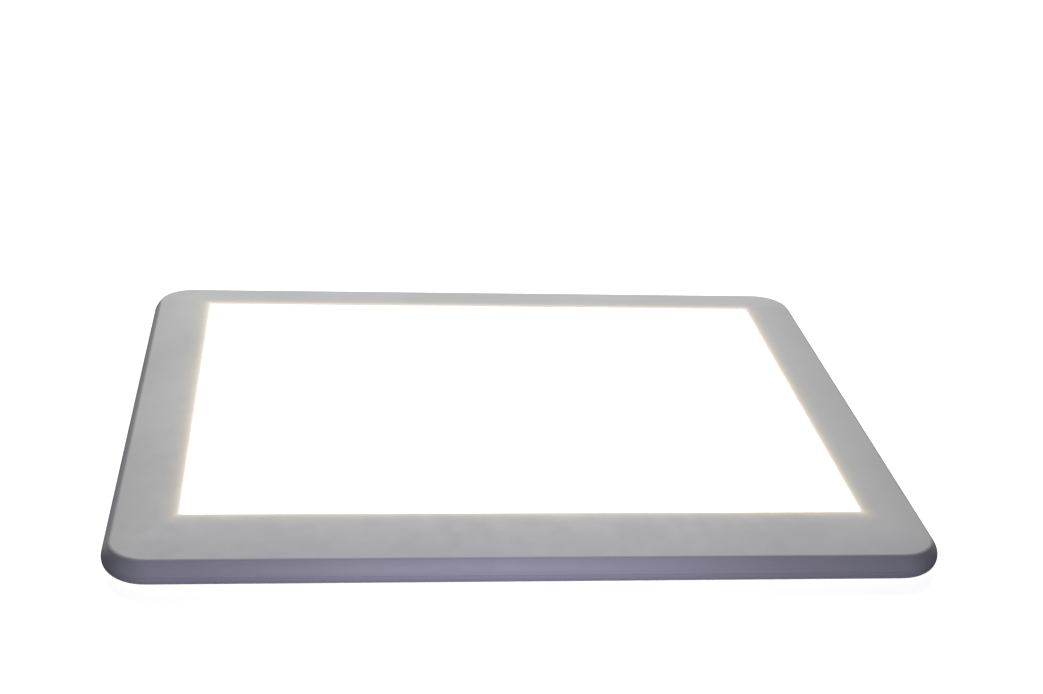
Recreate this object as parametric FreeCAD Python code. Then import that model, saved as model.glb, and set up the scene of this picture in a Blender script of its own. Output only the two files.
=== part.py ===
import FreeCAD
import Part

import math
import os

V = FreeCAD.Vector

# Light therapy lamp: a slim panel lit from its edges, lying on its back with its lit face up.
# X runs up the case, from the edge that it stands on (-X) to its top edge (+X). Y runs across
# it, and Z through its thickness. The origin is the middle of the surface under its feet.
# All sizes are in millimetres.

# Lit window, the opening in the front bezel
window_length = 221.2
window_width = 173.4
window_radius = 1.5
window_bevel_width = 0.4
window_bevel_depth = 0.4

# Front bezel, a crowned frame that falls away from the window to a crease, and leans out below it
bezel_end = 20.7
bezel_side = 22.7
bezel_fall = 3.44
crown_straight = 0.55
crown_steps = 4
crease_out = 0.5
crease_down = 0.3
crease_steps = 3
swell_end = 2.7
swell_side = 1.9
swell_power = 2.0
swell_steps = 5
face_radius = 12.25
bezel_skin = 1.6
lip_thickness = 1.8
panel_rib = 1.2
tongue_depth = 1.2
tongue_thickness = 0.9
tongue_fit = 0.1
tongue_notch = 0.6

# Rear shell, a shallow tray that closes against the bezel along a fine seam at the widest place
case_wall = 2.2
back_wall = 2.0
back_round = 4.0
back_round_steps = 5
seam_gap = 0.05
rib_thickness = 1.4
label_length = 52.0
label_width = 64.0
label_depth = 0.2
label_inset = 8.0
rib_pitch_x = 30.0
rib_pitch_y = 26.0
rib_margin_x = 11.0
rib_margin_y = 9.1
rib_end_gap = 4.0

# Light stack: sheets that share one outline, from the back plate up to the window's gasket
sheet_overlap = 4.0
sheet_corner = 2.0
sheet_fit = 0.3
plate_thickness = 0.8
reflector_thickness = 0.25
guide_thickness = 2.5
diffuser_film_thickness = 0.25
prism_film_thickness = 0.25
diffuser_thickness = 1.2
gasket_thickness = 0.4
gasket_width = 3.0

# Light-emitting strips along the two long edges of the light guide
led_count = 30
led_length = 3.0
led_height = 1.4
led_depth = 0.8
led_gap = 0.2
strip_thickness = 1.0
strip_height = 3.2
strip_tail = 3.5
tape_thickness = 0.15
flange_thickness = 0.8
plate_tab_length = 6.5
plate_tab_width = 8.0
plate_end_margin = 1.0

# Kickstand, a flat leg that folds into the back and swings out about a pin across it
leg_length = 136.5
leg_tip_inset = 7.5
leg_width = 64.0
leg_thickness = 2.6
leg_plate = 1.6
leg_corner = 8.0
leg_rib = 1.6
leg_gap = 0.8
leg_sink = 0.2
leg_clearance = 0.4
leg_recess_skin = 1.2
leg_bay_columns_count = 4
leg_bay_rows_count = 3
hinge_angle = 65.0
stop_margin = 5.0
barrel_diameter = 4.0
barrel_clearance = 0.3
hinge_skin = 0.75
hinge_cheek = 1.2
pin_diameter = 2.0
pin_running_fit = 0.05
pin_seat_fit = 0.05
pin_seat_length = 8.0
saddle_half_length = 7.0
saddle_length = 9.2
washer_diameter = 3.8
washer_thickness = 0.5
strap_thickness = 0.8
strap_half_length = 6.0
strap_width = 6.0
strap_screw_pitch = 8.4
leg_pad_length = 48.0
leg_pad_width = 3.0
leg_pad_thickness = 2.0
leg_pad_stand = 0.4

# Finger scoop beside the leg's free end
scoop_length = 9.8
scoop_reach = 10.0
scoop_under = 3.8
scoop_depth = 5.6
scoop_skin = 1.0

# Screws
case_screw_diameter = 2.4
case_screw_length = 7.0
case_screw_head = 4.5
case_screw_head_height = 1.5
case_screw_sink = 1.8
case_boss_radius = 3.6
case_boss_wall = 1.8
bezel_boss_radius = 3.0
small_screw_diameter = 1.9
small_screw_length = 2.5
small_screw_head = 3.5
small_screw_head_height = 1.0
screw_fit = 0.05
corner_screw_inset_x = 15.0
corner_screw_inset_y = 12.4
side_screw_pitch = 96.0
side_screw_inset = 8.4
top_screw_inset = 9.2

# Feet
foot_diameter = 12.0
foot_stand = 0.8
foot_sink = 0.6
foot_inset_x = 24.0
foot_inset_y = 21.4
foot_fit = 0.2
bead_diameter = 2.0
bead_length = 26.0
bead_inset = 49.4
bead_proud = 0.25

# Power inlet and button, side by side in the far wall near the edge that the lamp stands on
jack_inset = 26.0
button_pitch = 20.0
jack_width = 5.8
jack_height = 4.8
jack_depth = 10.8
jack_nose_diameter = 4.5
jack_nose_sink = 1.0
jack_bore = 3.6
jack_bore_depth = 9.2
jack_pin = 1.3
jack_floor_gap = 0.45
jack_hole_fit = 0.2
button_length = 11.0
button_height = 3.8
button_proud = 0.4
button_travel = 0.5
button_fit = 0.2
button_flange = 1.0
button_flange_rim = 0.5
button_flange_rest = 1.2
switch_length = 6.0
switch_depth = 3.5
switch_height = 3.5
stem_diameter = 2.2
stem_reach = 1.0
stem_root = 0.6

# Circuit boards and what stands on them
inlet_board_thickness = 0.8
inlet_board_length = 38.5
inlet_board_width = 11.0
inlet_board_post = 0.4
inlet_board_lead = 6.5
inlet_board_screw_inset = 3.5
inlet_board_gap = 0.2
control_board_thickness = 1.0
control_board_length = 40.0
control_board_width = 11.5
control_board_gap = 2.1
control_board_tab_gap = 2.0
control_board_recess_gap = 3.8
control_board_post = 1.0
board_screw_inset = 5.5
wire_diameter = 1.2
led_wire_diameter = 0.8
wire_bend = 2.5
wire_spacing = 0.3
wire_roof_gap = 0.2
header_depth = 1.8
header_height = 2.0
header_lead = 5.0
strip_header_depth = 2.2
strip_header_width = 4.4
strip_header_inset = 4.0
board_edge_gap = 0.5
chip_length = 6.0
chip_width = 5.0
chip_height = 1.6
inductor_side = 7.0
inductor_inset = 1.3
inductor_height = 3.8
inductor_base = 3.2
inductor_core = 5.6
capacitor_diameter = 4.0
capacitor_height = 3.6
capacitor_pitch = 5.4

# Places that follow from the sizes above
window_half_length = window_length / 2
window_half_width = window_width / 2
face_half_length = window_half_length + bezel_end
face_half_width = window_half_width + bezel_side
case_half_length = face_half_length + swell_end
case_half_width = face_half_width + swell_side
case_radius = face_radius + (swell_end + swell_side) / 2
sheet_half_length = window_half_length + sheet_overlap
sheet_half_width = window_half_width + sheet_overlap

# Heights, from the surface under the feet up to the rim of the window
case_bottom = foot_stand
floor_top = case_bottom + back_wall
barrel_radius = barrel_diameter / 2
leg_bottom = case_bottom + leg_sink
hinge_z = leg_bottom + barrel_radius
leg_recess_top = leg_bottom + leg_thickness + leg_clearance
plate_bottom = hinge_z + barrel_radius + barrel_clearance + hinge_skin
plate_top = plate_bottom + plate_thickness
reflector_top = plate_top + reflector_thickness
guide_top = reflector_top + guide_thickness
diffuser_film_top = guide_top + diffuser_film_thickness
prism_film_top = diffuser_film_top + prism_film_thickness
diffuser_top = prism_film_top + diffuser_thickness
lip_bottom = diffuser_top + gasket_thickness
bezel_top = lip_bottom + lip_thickness
bezel_edge = bezel_top - bezel_fall
wall_top = case_bottom + back_round
bezel_bottom = wall_top + seam_gap
strip_bottom = plate_top + sheet_fit / 3
strip_top = strip_bottom + strip_height
boss_seat = case_bottom + case_screw_sink + case_boss_wall
saddle_top = hinge_z + pin_diameter / 2 + pin_seat_fit

# Places across the light-emitting strips, from the guide's edge outwards
led_face = sheet_half_width + led_gap
strip_face = led_face + led_depth
strip_back = strip_face + strip_thickness
flange_face = strip_back + tape_thickness
flange_back = flange_face + flange_thickness
plate_half_length = sheet_half_length + plate_end_margin
strip_half_length = window_half_length + sheet_overlap / 2

# Places of the leg, its recess and the finger scoop
leg_half_width = leg_width / 2
leg_tip = -(case_half_length - leg_tip_inset)
hinge_x = leg_tip + leg_length
recess_half_width = leg_half_width + leg_gap
recess_end = leg_tip - leg_gap
scoop_top = case_bottom + scoop_depth
pin_half_length = recess_half_width + pin_seat_length
saddle_end = recess_half_width + saddle_length

# Places of the inlet, the button and their board
inner_wall_y = case_half_width - case_wall
jack_x = -(case_half_length - jack_inset)
button_x = jack_x + button_pitch
jack_z = floor_top + jack_floor_gap + jack_height / 2
inlet_board_bottom = floor_top + inlet_board_post
inlet_board_top = inlet_board_bottom + inlet_board_thickness
inlet_board_x = jack_x - inlet_board_lead
flange_outer = inner_wall_y - button_flange_rest
flange_inner = flange_outer - button_flange
switch_front = flange_inner - stem_reach
inlet_board_front = switch_front + inlet_board_gap
inlet_header_front = inlet_board_front - inlet_board_width + board_edge_gap

# Places of the control board
control_board_x = -(case_half_length - case_wall - control_board_gap)
control_board_y = recess_half_width + rib_thickness + control_board_recess_gap
control_board_end = control_board_y + control_board_length
plate_tab_y = control_board_end + control_board_tab_gap + plate_tab_width / 2
control_board_bottom = floor_top + control_board_post
control_board_top = control_board_bottom + control_board_thickness

tiny = 0.001


# Shapes that many pieces share

def outline(half_length, half_width, radius, z):
    """Closed wire of a rectangle with rounded corners, level at height z."""
    arcs = []
    for quarter, (side_x, side_y) in enumerate(((1, 1), (-1, 1), (-1, -1), (1, -1))):
        centre = V(side_x * (half_length - radius), side_y * (half_width - radius), z)
        points = []
        for eighth in range(3):
            turn = math.radians(90 * quarter + 45 * eighth)
            points.append(centre + V(radius * math.cos(turn), radius * math.sin(turn), 0))
        arcs.append(Part.Arc(*points).toShape())
    edges = []
    for quarter in range(4):
        following = arcs[(quarter + 1) % 4]
        edges.append(arcs[quarter])
        edges.append(Part.LineSegment(arcs[quarter].Vertexes[-1].Point,
                                      following.Vertexes[0].Point).toShape())
    return Part.Wire(edges)


def slab(half_length, half_width, radius, bottom, top):
    """Level plate with rounded corners about the middle of the case."""
    return Part.Face(outline(half_length, half_width, radius, bottom)).extrude(V(0, 0, top - bottom))


def plate(x0, x1, y0, y1, radius, bottom, top):
    """Level plate with rounded corners between two X and two Y places."""
    shape = slab((x1 - x0) / 2, (y1 - y0) / 2, radius, bottom, top)
    shape.translate(V((x0 + x1) / 2, (y0 + y1) / 2, 0))
    return shape


def box(x0, x1, y0, y1, z0, z1):
    """Block between two places on each axis."""
    return Part.makeBox(x1 - x0, y1 - y0, z1 - z0, V(x0, y0, z0))


def post(x, y, radius, bottom, top):
    """Upright round post."""
    return Part.makeCylinder(radius, top - bottom, V(x, y, bottom), V(0, 0, 1))


def rod(x, y0, y1, z, radius):
    """Round rod along Y."""
    return Part.makeCylinder(radius, y1 - y0, V(x, y0, z), V(0, 1, 0))


def pill(x, z, length, height, y0, y1):
    """Bar along Y with a section that is rounded at both ends, long along X."""
    radius = height / 2
    reach = length / 2 - radius
    shape = box(x - reach, x + reach, y0, y1, z - radius, z + radius)
    shape = shape.fuse(rod(x - reach, y0, y1, z, radius))
    return shape.fuse(rod(x + reach, y0, y1, z, radius)).removeSplitter()


def joined(shapes):
    """One solid made of overlapping shapes."""
    whole = shapes[0]
    if len(shapes) > 1:
        whole = whole.fuse(shapes[1:])
    return whole.removeSplitter()


def wire_along(points, diameter):
    """Round wire along straight runs that tangent arcs join."""
    edges = []
    start = points[0]
    for before, corner, after in zip(points, points[1:], points[2:]):
        arriving = (corner - before).normalize()
        leaving = (after - corner).normalize()
        turn = arriving.getAngle(leaving)
        bend = wire_bend * math.tan(turn / 2)
        first = corner - arriving * bend
        last = corner + leaving * bend
        inward = (leaving - arriving).normalize()
        middle = corner + inward * (wire_bend / math.cos(turn / 2) - wire_bend)
        edges.append(Part.LineSegment(start, first).toShape())
        edges.append(Part.Arc(first, middle, last).toShape())
        start = last
    edges.append(Part.LineSegment(start, points[-1]).toShape())
    path = Part.Wire(edges)
    section = Part.Wire(Part.makeCircle(diameter / 2, points[0], points[1] - points[0]))
    return path.makePipeShell([section], True, False)


def screw(x, y, head_face, direction, head, head_height, diameter, length):
    """Pan-head screw whose head seats at head_face, with its shank pointing along direction."""
    head_bottom = head_face if direction < 0 else head_face - head_height
    shank_bottom = head_face - length if direction < 0 else head_face
    shape = post(x, y, head / 2, head_bottom, head_bottom + head_height)
    shape = shape.fuse(post(x, y, diameter / 2, shank_bottom, shank_bottom + length))
    outer_face = head_bottom + head_height if direction < 0 else head_bottom
    slot_bottom = outer_face - head_height / 2 if direction < 0 else outer_face
    slot_width = head / 6
    slot_half = head / 3
    for half_x, half_y in ((slot_half, slot_width / 2), (slot_width / 2, slot_half)):
        shape = shape.cut(box(x - half_x, x + half_x, y - half_y, y + half_y,
                              slot_bottom, slot_bottom + head_height / 2))
    return shape


def case_screw_places():
    """Where the case screws stand: the corners, along the sides, and the top edge."""
    corner_x = case_half_length - corner_screw_inset_x
    corner_y = case_half_width - corner_screw_inset_y
    side_y = case_half_width - side_screw_inset
    places = [(case_half_length - top_screw_inset, 0.0)]
    for side_x in (-1, 1):
        for side_y_sign in (-1, 1):
            places.append((side_x * corner_x, side_y_sign * corner_y))
            places.append((side_x * side_screw_pitch / 2, side_y_sign * side_y))
    return places


def plate_screw_places():
    """Where the back plate's tabs are screwed down, at both ends of the case."""
    x = plate_half_length + plate_tab_length / 2
    return [(side_x * x, side_y * plate_tab_y) for side_x in (-1, 1) for side_y in (-1, 1)]


def control_board_screw_places():
    """The two screws of the control board, on its centre line."""
    x = control_board_x + control_board_width / 2
    return [(x, control_board_y + board_screw_inset),
            (x, control_board_y + control_board_length - board_screw_inset)]


def inlet_board_screw_places():
    """The two screws of the inlet board, between the jack and the switch and past the switch."""
    y = inlet_board_front - inlet_board_width / 2
    return [((jack_x + button_x) / 2, y),
            (inlet_board_x + inlet_board_length - inlet_board_screw_inset, y)]


def strap_screw_places():
    """Two screws on each of the straps that hold the hinge pin down."""
    y = (recess_half_width + hinge_cheek + saddle_end) / 2
    return [(hinge_x + side_x * strap_screw_pitch / 2, side_y * y)
            for side_x in (-1, 1) for side_y in (-1, 1)]


# Front bezel

def crown_fall(share):
    """How far the bezel has fallen at a share of its width, counted from the window."""
    return bezel_fall * (crown_straight * share + (1 - crown_straight) * share ** 2)


def wall_swell(share):
    """Share of the swell that the wall has gained at a share of its height below the crease."""
    return 1 - (1 - share) ** swell_power


def case_ring(swell, z, inset=0.0):
    """Outline of the case where it has gained a share of its swell, or inside it by an inset."""
    radius = face_radius + swell * (case_radius - face_radius)
    return outline(face_half_length + swell * swell_end - inset,
                   face_half_width + swell * swell_side - inset, radius - inset, z)


def crown_solid():
    """Outer body of the bezel: the crown, the rounded crease round it, and the wall below."""
    crease = crease_out / max(bezel_end, bezel_side)
    rings = []
    for step in range(crown_steps + 1):
        share = (1 - crease) * step / crown_steps
        rings.append(outline(window_half_length + share * bezel_end,
                             window_half_width + share * bezel_side,
                             window_radius + share * (face_radius - window_radius),
                             bezel_top - crown_fall(share)))
    crown = Part.makeLoft(rings, True, False)

    crease_start = bezel_top - crown_fall(1 - crease)
    crease_end = bezel_edge - crease_down
    crease_share = crease_down / (bezel_edge - bezel_bottom)
    start_half_length = window_half_length + (1 - crease) * bezel_end
    start_half_width = window_half_width + (1 - crease) * bezel_side
    start_radius = window_radius + (1 - crease) * (face_radius - window_radius)
    gained = wall_swell(crease_share)
    rings = []
    for step in range(crease_steps + 1):
        share = step / crease_steps
        bow = 2 * share * (1 - share)
        keep, come = (1 - share) ** 2, share ** 2
        rings.append(outline(
            keep * start_half_length + bow * face_half_length
            + come * (face_half_length + gained * swell_end),
            keep * start_half_width + bow * face_half_width
            + come * (face_half_width + gained * swell_side),
            keep * start_radius + bow * face_radius
            + come * (face_radius + gained * (case_radius - face_radius)),
            keep * crease_start + bow * bezel_edge + come * crease_end))
    crease_body = Part.makeLoft(rings, True, False)

    rings = []
    for step in range(swell_steps + 1):
        share = crease_share + (1 - crease_share) * step / swell_steps
        z = bezel_edge - share * (bezel_edge - bezel_bottom)
        rings.append(case_ring(wall_swell(share), z))
    wall = Part.makeLoft(rings, True, False)
    return crown.fuse([crease_body, wall])


def bezel_cavity():
    """Space inside the bezel's skin, which follows the crown and the wall from inside."""
    rings = []
    for step in range(crown_steps + 1):
        share = step / crown_steps
        half_length = window_half_length + share * (bezel_end - bezel_skin)
        half_width = window_half_width + share * (bezel_side - bezel_skin)
        radius = window_radius + share * (face_radius - bezel_skin - window_radius)
        rings.append(outline(half_length, half_width, radius,
                             bezel_top - bezel_skin - crown_fall(share)))
    crown = Part.makeLoft(rings, True, False)
    lowest = bezel_edge - bezel_skin
    gained = wall_swell(bezel_skin / (bezel_edge - bezel_bottom))
    wall = Part.makeLoft([case_ring(gained, lowest, case_wall),
                          case_ring(1.0, bezel_bottom, case_wall)], True, True)
    opening = slab(case_half_length - case_wall, case_half_width - case_wall,
                   case_radius - case_wall, bezel_bottom - 1.0, bezel_bottom)
    return crown.fuse([wall, opening])


def side_openings(margin):
    """Holes for the inlet and the button, through the far wall on both sides of the seam."""
    inside = inner_wall_y - case_wall
    outside = case_half_width + 1.0
    return [rod(jack_x, inside, outside, jack_z, jack_nose_diameter / 2 + margin),
            pill(button_x, jack_z, button_length + 2 * margin, button_height + 2 * margin,
                 inside, outside)]


def front_bezel():
    """Crowned frame with its window, the rib that locates the diffuser, tongue and screw bosses."""
    body = crown_solid()
    inside = [bezel_cavity()]
    inside.append(slab(sheet_half_length + sheet_fit, sheet_half_width + sheet_fit,
                       sheet_corner, bezel_bottom - 1.0, lip_bottom))
    frame = body.cut(inside)

    rib_bottom = strip_top + sheet_fit
    rib_inner_length = sheet_half_length + sheet_fit
    rib_inner_width = sheet_half_width + sheet_fit
    rib = slab(rib_inner_length + panel_rib, rib_inner_width + panel_rib,
               sheet_corner + panel_rib, rib_bottom, bezel_top)
    rib = rib.cut(slab(rib_inner_length, rib_inner_width, sheet_corner, rib_bottom, bezel_top))

    tongue_outer = case_wall / 2 + tongue_fit
    tongue_inner = tongue_outer + tongue_thickness
    tongue_root = bezel_bottom + tongue_thickness / 2
    tongue = slab(case_half_length - tongue_outer, case_half_width - tongue_outer,
                  case_radius - tongue_outer, wall_top - tongue_depth, tongue_root)
    tongue = tongue.cut(slab(case_half_length - tongue_inner, case_half_width - tongue_inner,
                             case_radius - tongue_inner, wall_top - tongue_depth, tongue_root))
    tongue = tongue.cut(side_openings(tongue_notch))

    bosses = [post(x, y, bezel_boss_radius, boss_seat, bezel_top) for x, y in case_screw_places()]
    inner_parts = [rib.common(crown_solid())]
    inner_parts += [boss.common(joined([crown_solid(), slab(
        face_half_length - case_wall, face_half_width - case_wall, face_radius - case_wall,
        boss_seat, bezel_bottom)])) for boss in bosses]
    frame = frame.fuse(inner_parts + [tongue])

    hole_top = boss_seat + case_screw_length
    hole_radius = case_screw_diameter / 2 + screw_fit
    cuts = []
    for x, y in case_screw_places():
        cuts.append(post(x, y, hole_radius, boss_seat, min(hole_top, bezel_edge - screw_fit)))
    bevel = Part.makeLoft(
        [outline(window_half_length + grow, window_half_width + grow, window_radius + grow, z)
         for grow, z in ((0.0, bezel_top - window_bevel_depth),
                         (2 * window_bevel_width, bezel_top + window_bevel_depth))], True, True)
    cuts.append(bevel)
    cuts.append(slab(window_half_length, window_half_width, window_radius,
                     lip_bottom - 1.0, bezel_top))
    cuts += side_openings(jack_hole_fit)
    return frame.cut(cuts).removeSplitter()


# Rear shell

def leg_recess():
    """Space for the folded leg, its barrel, and its way out up to the angle of its stop."""
    tray = plate(recess_end, hinge_x + leg_corner, -recess_half_width, recess_half_width,
                 leg_corner, case_bottom - 1.0, leg_recess_top)
    beyond = box(hinge_x, hinge_x + 2 * leg_corner, -recess_half_width, recess_half_width,
                 case_bottom - 1.0, leg_recess_top)
    tray = tray.cut(beyond)
    barrel = rod(hinge_x, -recess_half_width, recess_half_width, hinge_z,
                 barrel_radius + barrel_clearance)
    way_out = box(hinge_x - 3 * barrel_diameter, hinge_x, -recess_half_width,
                  recess_half_width, leg_bottom, leg_bottom + leg_thickness)
    way_out.rotate(V(hinge_x, 0, hinge_z), V(0, 1, 0), -(hinge_angle + stop_margin))
    return tray.fuse([barrel, way_out])


def finger_scoop():
    """Hollow beside the leg's free end that reaches in under the leg's edge."""
    return plate(recess_end, recess_end + scoop_length,
                 -recess_half_width - scoop_reach, -recess_half_width + scoop_under,
                 scoop_length / 5, case_bottom - 1.0, scoop_top)


def bead_axis():
    """X and Z of the line that the standing beads lie on, in the rounded lower edge."""
    reach = (back_round - (bead_diameter / 2 - bead_proud)) / math.sqrt(2)
    return (-(case_half_length - back_round + reach), case_bottom + back_round - reach)


def rear_shell():
    """Tray with its rounded back edge, ribs, bosses, leg recess, scoop and side openings."""
    rings = []
    for step in range(back_round_steps + 1):
        turn = math.radians(90 * step / back_round_steps)
        inward = back_round * (1 - math.cos(turn))
        rings.append(outline(case_half_length - inward, case_half_width - inward,
                             case_radius - inward, wall_top - back_round * math.sin(turn)))
    tray = Part.makeLoft(rings, True, False)
    hollow = slab(case_half_length - case_wall, case_half_width - case_wall,
                  case_radius - case_wall, floor_top, wall_top)
    rebate = case_wall / 2
    step = slab(case_half_length - rebate, case_half_width - rebate, case_radius - rebate,
                wall_top - tongue_depth - tongue_fit, wall_top)
    tray = tray.cut([hollow, step])

    root = floor_top - back_wall / 4
    rise = [box(recess_end - rib_thickness, hinge_x, -recess_half_width - rib_thickness,
                recess_half_width + rib_thickness, root, leg_recess_top + leg_recess_skin)]
    housing = barrel_radius + barrel_clearance + rib_thickness
    rise.append(box(hinge_x - housing, hinge_x + housing, -recess_half_width - hinge_cheek,
                    recess_half_width + hinge_cheek, root, plate_bottom))
    for side_y in (-1, 1):
        inner = side_y * (recess_half_width + hinge_cheek / 2)
        outer = side_y * saddle_end
        rise.append(box(hinge_x - saddle_half_length, hinge_x + saddle_half_length,
                        min(inner, outer), max(inner, outer), root, saddle_top))
    rise.append(plate(recess_end - scoop_skin, recess_end + scoop_length + scoop_skin,
                      -recess_half_width - scoop_reach - scoop_skin,
                      -recess_half_width + scoop_under + scoop_skin,
                      scoop_length / 5, root, scoop_top + scoop_skin))
    rib_reach = window_half_length - rib_end_gap
    y = window_half_width - rib_margin_y
    while y > saddle_end + rib_thickness:
        for side_y in (-1, 1):
            rise.append(box(-rib_reach, rib_reach, side_y * y - rib_thickness / 2,
                            side_y * y + rib_thickness / 2, root, plate_bottom))
        y -= rib_pitch_y
    x = window_half_length - rib_margin_x
    while x > -rib_reach:
        if abs(x - hinge_x) > saddle_half_length + rib_thickness:
            rise.append(box(x - rib_thickness / 2, x + rib_thickness / 2, -window_half_width,
                            window_half_width, root, plate_bottom))
        x -= rib_pitch_x
    rise += [post(x, y, case_boss_radius, root, boss_seat) for x, y in case_screw_places()]
    small_boss = small_screw_diameter / 2 + 1.6
    rise += [post(x, y, small_boss, root, plate_bottom) for x, y in plate_screw_places()]
    rise += [post(x, y, small_boss, root, control_board_bottom)
             for x, y in control_board_screw_places()]
    rise += [post(x, y, small_boss, root, inlet_board_bottom)
             for x, y in inlet_board_screw_places()]
    shell = tray.fuse(rise)

    cuts = [leg_recess(), finger_scoop()]
    label_end = window_half_length - label_inset
    cuts.append(plate(label_end - label_length, label_end,
                      -label_width / 2, label_width / 2, leg_corner / 2,
                      case_bottom - 1.0, case_bottom + label_depth))
    for x, y in case_screw_places():
        cuts.append(post(x, y, case_screw_diameter / 2 + 4 * screw_fit, case_bottom - 1.0,
                         boss_seat))
        cuts.append(post(x, y, case_screw_head / 2 + 4 * screw_fit, case_bottom - 1.0,
                         case_bottom + case_screw_sink))
    small_hole = small_screw_diameter / 2 + screw_fit
    for places, seat in ((plate_screw_places(), plate_bottom),
                         (strap_screw_places(), saddle_top),
                         (control_board_screw_places(), control_board_bottom),
                         (inlet_board_screw_places(), inlet_board_bottom)):
        cuts += [post(x, y, small_hole, max(seat - small_screw_length, case_bottom + 0.6), seat)
                 for x, y in places]
    pin_seat = pin_diameter / 2 + pin_seat_fit
    for side_y in (-1, 1):
        inner = side_y * (recess_half_width - 0.1)
        outer = side_y * (pin_half_length + pin_seat_fit)
        low, high = min(inner, outer), max(inner, outer)
        cuts.append(rod(hinge_x, low, high, hinge_z, pin_seat))
        cuts.append(box(hinge_x - pin_seat, hinge_x + pin_seat, low, high, hinge_z, plate_bottom))
    for side_x in (-1, 1):
        for side_y in (-1, 1):
            x, y = side_x * (case_half_length - foot_inset_x), side_y * (case_half_width - foot_inset_y)
            cuts.append(post(x, y, foot_diameter / 2 + foot_fit,
                             case_bottom - 1.0, case_bottom + foot_sink))
    bead_x, bead_z = bead_axis()
    for side_y in (-1, 1):
        middle = side_y * (case_half_width - bead_inset)
        cuts.append(rod(bead_x, middle - bead_length / 2 - screw_fit,
                        middle + bead_length / 2 + screw_fit, bead_z, bead_diameter / 2 + tiny))
    cuts += side_openings(jack_hole_fit)
    return shell.cut(cuts).removeSplitter()


# Light stack

def sheet(bottom, top, trim=0.0):
    """Flat sheet of the light stack."""
    return slab(sheet_half_length - trim, sheet_half_width - trim, sheet_corner, bottom, top)


def window_gasket():
    """Foam frame that holds the diffuser off the bezel's lip."""
    inner_length = sheet_half_length - gasket_width
    inner_width = sheet_half_width - gasket_width
    ring = sheet(diffuser_top, lip_bottom)
    return ring.cut(slab(inner_length, inner_width, sheet_corner, diffuser_top, lip_bottom))


def back_plate():
    """Aluminium sheet under the light guide, with flanges behind the strips and screw tabs."""
    shape = box(-plate_half_length, plate_half_length, -flange_back, flange_back,
                plate_bottom, plate_top)
    parts = []
    for side_y in (-1, 1):
        near, far = sorted((side_y * flange_face, side_y * flange_back))
        parts.append(box(-plate_half_length, plate_half_length, near, far,
                         plate_bottom, strip_top))
        for side_x in (-1, 1):
            x0, x1 = sorted((side_x * (plate_half_length - 2.0),
                             side_x * (plate_half_length + plate_tab_length)))
            y = side_y * plate_tab_y
            parts.append(plate(x0, x1, y - plate_tab_width / 2, y + plate_tab_width / 2,
                               1.0, plate_bottom, plate_top))
    shape = shape.fuse(parts)
    hole = small_screw_diameter / 2 + 2 * screw_fit
    shape = shape.cut([post(x, y, hole, plate_bottom, plate_top)
                       for x, y in plate_screw_places()])
    return shape.removeSplitter()


def led_strip(side_y):
    """Narrow board that stands along one long edge of the light guide."""
    low, high = sorted((side_y * strip_face, side_y * strip_back))
    return box(-strip_half_length - strip_tail, strip_half_length, low, high,
               strip_bottom, strip_top)


def led_packages(side_y):
    """Row of emitters on one strip, facing the edge of the light guide."""
    low, high = sorted((side_y * led_face, side_y * strip_face))
    pitch = window_length / led_count
    middle = (reflector_top + guide_top) / 2
    row = []
    for index in range(led_count):
        x = (index - (led_count - 1) / 2) * pitch
        row.append(box(x - led_length / 2, x + led_length / 2, low, high,
                       middle - led_height / 2, middle + led_height / 2))
    return Part.makeCompound(row)


def thermal_tapes():
    """Tape between each strip and the flange behind it."""
    tapes = []
    for side_y in (-1, 1):
        low, high = sorted((side_y * strip_back, side_y * flange_face))
        tapes.append(box(-strip_half_length, strip_half_length, low, high,
                         strip_bottom, strip_top))
    return Part.makeCompound(tapes)


# Kickstand and its hinge

def kickstand():
    """Flat leg with ribs on its inner face and a barrel that the hinge pin runs through."""
    body = plate(leg_tip, hinge_x + leg_corner, -leg_half_width, leg_half_width, leg_corner,
                 leg_bottom, leg_bottom + leg_thickness)
    edges = [edge for edge in body.Edges
             if all(abs(vertex.Z - leg_bottom) < tiny for vertex in edge.Vertexes)]
    body = body.makeChamfer(leg_sink, edges)
    body = body.cut(box(hinge_x, hinge_x + 2 * leg_corner, -leg_half_width, leg_half_width,
                        leg_bottom, leg_bottom + leg_thickness))

    bay_x0 = leg_tip + leg_pad_width + 2 * leg_rib
    bay_x1 = hinge_x - barrel_radius - leg_rib
    columns = leg_bay_columns_count
    rows = leg_bay_rows_count
    bay_length = (bay_x1 - bay_x0 - (columns - 1) * leg_rib) / columns
    bay_width = (leg_width - (rows + 1) * leg_rib) / rows
    bays = []
    for column in range(columns):
        x = bay_x0 + column * (bay_length + leg_rib)
        for row in range(rows):
            y = -leg_half_width + leg_rib + row * (bay_width + leg_rib)
            bays.append(plate(x, x + bay_length, y, y + bay_width, leg_rib,
                              leg_bottom + leg_plate, leg_bottom + leg_thickness))
    body = body.cut(bays)
    body = body.fuse(rod(hinge_x, -leg_half_width, leg_half_width, hinge_z, barrel_radius))
    bore = rod(hinge_x, -leg_half_width, leg_half_width, hinge_z,
               pin_diameter / 2 + pin_running_fit)
    pad_seat = box(leg_tip, leg_tip + leg_pad_width, -leg_pad_length / 2, leg_pad_length / 2,
                   leg_bottom, leg_bottom + leg_pad_thickness)
    return body.cut([bore, pad_seat]).removeSplitter()


def kickstand_pad():
    """Rubber strip along the leg's free end."""
    strip = box(leg_tip - leg_pad_stand, leg_tip + leg_pad_width, -leg_pad_length / 2,
                leg_pad_length / 2, leg_bottom, leg_bottom + leg_pad_thickness)
    front = [edge for edge in strip.Edges
             if all(abs(vertex.X - (leg_tip - leg_pad_stand)) < tiny for vertex in edge.Vertexes)
             and abs(edge.Vertexes[0].Y - edge.Vertexes[-1].Y) > 1.0]
    return strip.makeFillet(leg_pad_stand, front)


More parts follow.
